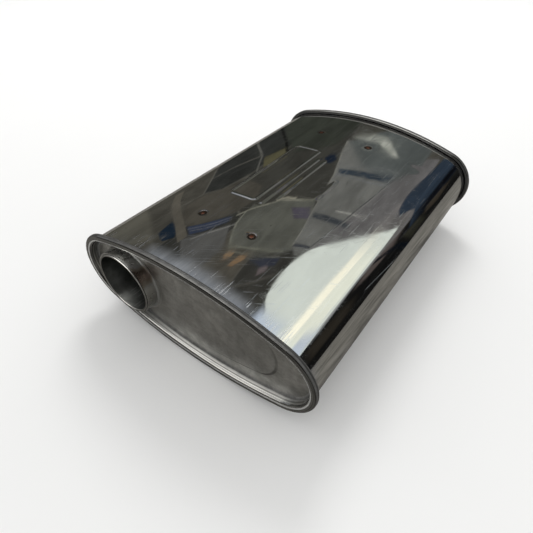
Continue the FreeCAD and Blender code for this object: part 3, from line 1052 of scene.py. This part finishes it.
# the same for narrow seams and cables: name, colour, width in degrees, and their run
seams = (
    ("seamLeft", (0.13, 0.13, 0.12), 0.35, (-92, 45.4, -70, 44.7, -60, 42.4)),
    ("seamTent", (0.14, 0.135, 0.12), 0.4, (-76.8, 36.8, -75.7, 39.9, -73.8, 42.1, -71, 44.5)),
    ("seamFan", (0.25, 0.25, 0.21), 0.45,
     (-46.2, 36.8, -44.3, 39, -41.4, 41, -37.1, 43.7, -30, 45.8, -24.9, 47.2)),
    ("seamFanTop", (0.42, 0.4, 0.33), 0.35, (-39, 43, -36.5, 44.4, -33, 45.3)),
    ("seamNear", (0.23, 0.235, 0.2), 0.4, (-44.7, 38.2, -42.7, 36.2, -39.2, 34.6, -35.4, 33.3)),
    ("seamLow", (0.25, 0.255, 0.21), 0.35, (-35.3, 33.1, -31, 34.6, -25.7, 36, -20.3, 37.3, -16.5, 38.6)),
    ("seamLower", (0.2, 0.2, 0.17), 0.25, (-34.2, 32.6, -27.3, 34.2, -20.7, 35.8, -15.5, 37.6)),
    ("seamUnder", (0.27, 0.27, 0.26), 0.3, (-50.7, 29.4, -47.6, 31.8, -45, 33.8, -42.2, 36)),
    ("seamStreak", (0.13, 0.14, 0.17), 0.3, (-56.2, 30, -52.4, 32.2, -49.2, 34.4, -46.8, 36.2)),
    ("seamStreakLow", (0.16, 0.165, 0.18), 0.2, (-54.6, 30, -51, 32, -47.9, 34.1, -46, 36)),
    ("seamBack", (0.27, 0.27, 0.25), 0.35,
     (-42, 55.7, -35, 53.5, -29, 51.4, -24.6, 48.5, -21.6, 46.1, -18, 43.2, -15.5, 40.3)),
    ("seamMid", (0.5, 0.5, 0.47), 0.16, (-12.9, 48.1, -5.6, 49.2, 1.8, 50.3)),
    ("seamRight", (0.26, 0.26, 0.25), 0.3, (-7.9, 42.1, -6.6, 45.9, -5.2, 49.2, -3.6, 52.5, -2.7, 55.8)),
    ("edgeRight", (0.06, 0.062, 0.068), 0.45,
     (-8.5, 42.1, -7.2, 45.9, -5.8, 49.2, -4.2, 52.5, -3.3, 55.8)),
    ("seamArc", (0.135, 0.125, 0.105), 1.5,
     (-81, 32.1, -75.5, 30.9, -70.4, 30.3, -61.8, 29.5, -53.1, 28.6)),
    ("beamLine", (0.24, 0.25, 0.25), 0.18, (-32, 52.9, -18.5, 55.4, -3.5, 57.4)),
    ("beamUnder", (0.21, 0.22, 0.23), 0.2, (-29.5, 51.4, -15.4, 53.8, -1.8, 55.8)),
    ("edgeDark", (0.01, 0.01, 0.01), 0.45, (-92, 49.3, -70, 48.8, -59, 47.7)),
    ("cableHigh", (0.005, 0.007, 0.011), 1.3, (42, 45.8, 52, 47.8, 65, 49.4, 90, 50.2)),
    ("cableLow", (0.006, 0.006, 0.007), 0.5, (56, 44, 66, 43, 74, 41.6)),
    ("glint", (0.17, 0.18, 0.19), 0.7, (72, 42, 80, 45, 88, 47.6)),
)


def emission(name, colour, soft=0.0):
    # a glowing card, a little cloudy; a soft one fades out towards its edge
    material = bpy.data.materials.new(name)
    material.use_nodes = True
    tree = material.node_tree
    tree.nodes.remove(tree.nodes["Principled BSDF"])
    place = node(tree, "TexCoord").outputs["Object"]
    drift = studio["panelDrift" if max(colour) < studio["brightFrom"] else "brightDrift"]
    strength = between(noise(place, 1.3, 6.0, 0.68, 0.5), 0.32, 0.68, 1 - drift, 1 + drift)
    shader = node(tree, "Emission", {"Color": colour, "Strength": strength})
    surface = shader.outputs[0]
    if soft:
        outward = node(tree, "Attribute", attribute_name="outward").outputs["Fac"]
        clear = node(tree, "BsdfTransparent").outputs[0]
        fade = between(outward, 1 - soft, 1.0)
        surface = follow("MixShader", {0: fade, 1: surface, 2: clear}).outputs[0]
    feed(surface, tree.nodes["Material Output"], "Surface")
    return material, shader, place


def evenStops(numbers, count):
    # stops at even steps along a line that is given as turn and rise, one after the other
    line = np.reshape(numbers, (-1, 2))
    run = lengthsAlong(line)
    steps = np.linspace(0, run[-1], count)
    return np.stack([np.interp(steps, run, line[:, k]) for k in range(2)], axis=1)


def direction(turn, rise):
    # unit vector: turned about Y from straight up, then raised towards +Y
    turn, rise = np.radians(turn), np.radians(rise)
    return np.stack([np.sin(turn) * np.cos(rise), np.sin(rise), np.cos(turn) * np.cos(rise)], axis=-1)


def glossOnly(piece):
    piece.visible_camera = False
    piece.visible_diffuse = False
    piece.visible_shadow = False
    piece.visible_transmission = False
    return piece


def hang(name, colour, places, radius, soft=0.0, closed=False):
    # rows of turn and rise, thrown on a sphere round the object
    points = direction(places[..., 0], places[..., 1]) * radius
    quads, _ = gridQuads(*places.shape[:2], wrapRows=False, wrapColumns=closed)
    piece = makePiece(name, points.reshape(-1, 3), quads)
    dress(piece, emission(name, colour, soft)[0])
    return glossOnly(piece)


def makePanel(name, colour, soft, corners, radius):
    # rings from the middle of the corners out to the line through them
    edge = evenStops(corners + corners[:2], studio["panelStops"])[:-1]
    middle = edge.mean(axis=0)
    share = np.linspace(0.02, 1, studio["panelRings"])[:, None, None]
    piece = hang(name, colour, middle + (edge - middle) * share, radius, soft, closed=True)
    setAttribute(piece, "outward", np.repeat(share.ravel(), len(edge)))


def makeSeam(name, colour, width, run, radius):
    # stops along a line, set off to both sides of it
    middle = evenStops(run, studio["seamStops"])
    ahead = np.gradient(middle, axis=0)
    side = np.stack([-ahead[:, 1], ahead[:, 0]], axis=1) / np.linalg.norm(ahead, axis=1, keepdims=True)
    hang(name, colour, np.stack([middle - side * width / 2, middle + side * width / 2]), radius)


def makeTent():
    # half a sphere of dim cloths with paler seams, darker low on the +X side
    turn = np.linspace(0, 2 * np.pi, 97)[:-1][None, :]
    rise = np.linspace(-0.012, np.pi / 2 - 0.01, 33)[:, None]
    points = studio["tentRadius"] * np.stack(
        [np.cos(rise) * np.cos(turn), np.cos(rise) * np.sin(turn), np.sin(rise) + 0 * turn], axis=-1
    )
    quads, _ = gridQuads(rise.size, turn.size, wrapRows=False)
    tent = makePiece("tent", points.reshape(-1, 3), quads)
    material, shader, place = emission("tentCloth", studio["cloth"])
    place = vectorMaths("NORMALIZE", place)
    inputs = {"Vector": place, "Scale": studio["cells"], "Randomness": 0.85}
    cells = follow("TexVoronoi", inputs)
    edges = follow("TexVoronoi", inputs, feature="DISTANCE_TO_EDGE")
    grey = follow("RGBToBW", {"Color": cells.outputs["Color"]}).outputs[0]
    cloth = mixColour(between(grey, 0.25, 0.75), studio["clothDark"], studio["clothLight"])
    seam = between(edges.outputs["Distance"], 0.005, 0.014, 0.6, 0.0)
    cloth = mixColour(seam, cloth, studio["clothSeam"])
    split = parts(place)
    lowRight = times(between(split["X"], 0.30, 0.50), between(split["Z"], 0.80, 0.66))
    feed(mixColour(lowRight, cloth, studio["clothShade"]), shader, "Color")
    dress(tent, material)
    glossOnly(tent)


def makeGround(name, half, level, colour, low, high, scale=4.0):
    # a flat grid; the colour drifts from low to high over it
    side = np.linspace(-half, half, 41)
    x, y = np.meshgrid(side, side)
    points = np.stack([x, y, np.full_like(x, level)], axis=-1).reshape(-1, 3)
    quads, _ = gridQuads(side.size, side.size, wrapRows=False, wrapColumns=False)
    ground = makePiece(name, points, quads)
    material, shader, place = startMaterial(name + "Cloth", colour, 0.85, metallic=0.0)
    shader.inputs["Specular IOR Level"].default_value = 0.1
    drift = noise(place, scale, 5.0, 0.6)
    feed(mixColour(between(drift, 0.3, 0.7), *np.outer((low, high), colour)), shader, "Base Color")
    dress(ground, material)
    return ground


def addLamp(name, place, size, power):
    lamp = bpy.data.objects.new(name, bpy.data.lights.new(name, "AREA"))
    lamp.data.shape = "DISK"
    lamp.data.size = size
    lamp.data.energy = power
    lamp.location = place
    lamp.rotation_euler = (-Vector(place)).to_track_quat("-Z", "Y").to_euler()
    lamp.visible_glossy = False
    scene.collection.objects.link(lamp)


def setWorld():
    # white to the camera and to gloss; its light on the floor is a little lower
    world = bpy.data.worlds.new("studio")
    world.use_nodes = True
    tree = world.node_tree
    background = tree.nodes["Background"]
    path = node(tree, "LightPath").outputs
    seen = larger(path["Is Camera Ray"], larger(path["Is Glossy Ray"], path["Is Transmission Ray"]))
    feed(between(seen, 0.0, 1.0, studio["worldStrength"], 1.0), background, "Strength")
    background.inputs["Color"].default_value = (1, 1, 1, 1)
    scene.world = world


floorLevel = modelBox[0].z - 0.00005  # just clear of both rims
makeGround("floor", studio["floorHalf"], floorLevel, studio["floorColour"], 0.99, 1.0)
benchLevel = floorLevel + studio["benchRise"]
glossOnly(makeGround("bench", studio["benchHalf"], benchLevel, studio["benchColour"], 0.55, 1.2, 24.0))
makeTent()
for order, (name, colour, soft, corners) in enumerate(panels):
    makePanel(name, colour, soft, corners, studio["tentRadius"] - 0.3 - studio["panelStep"] * order)
for name, colour, width, run in seams:
    makeSeam(name, colour, width, run, studio["seamRadius"])
addLamp("keyLamp", studio["keyPlace"], studio["keySize"], studio["keyPower"])
setWorld()
print("studio set")
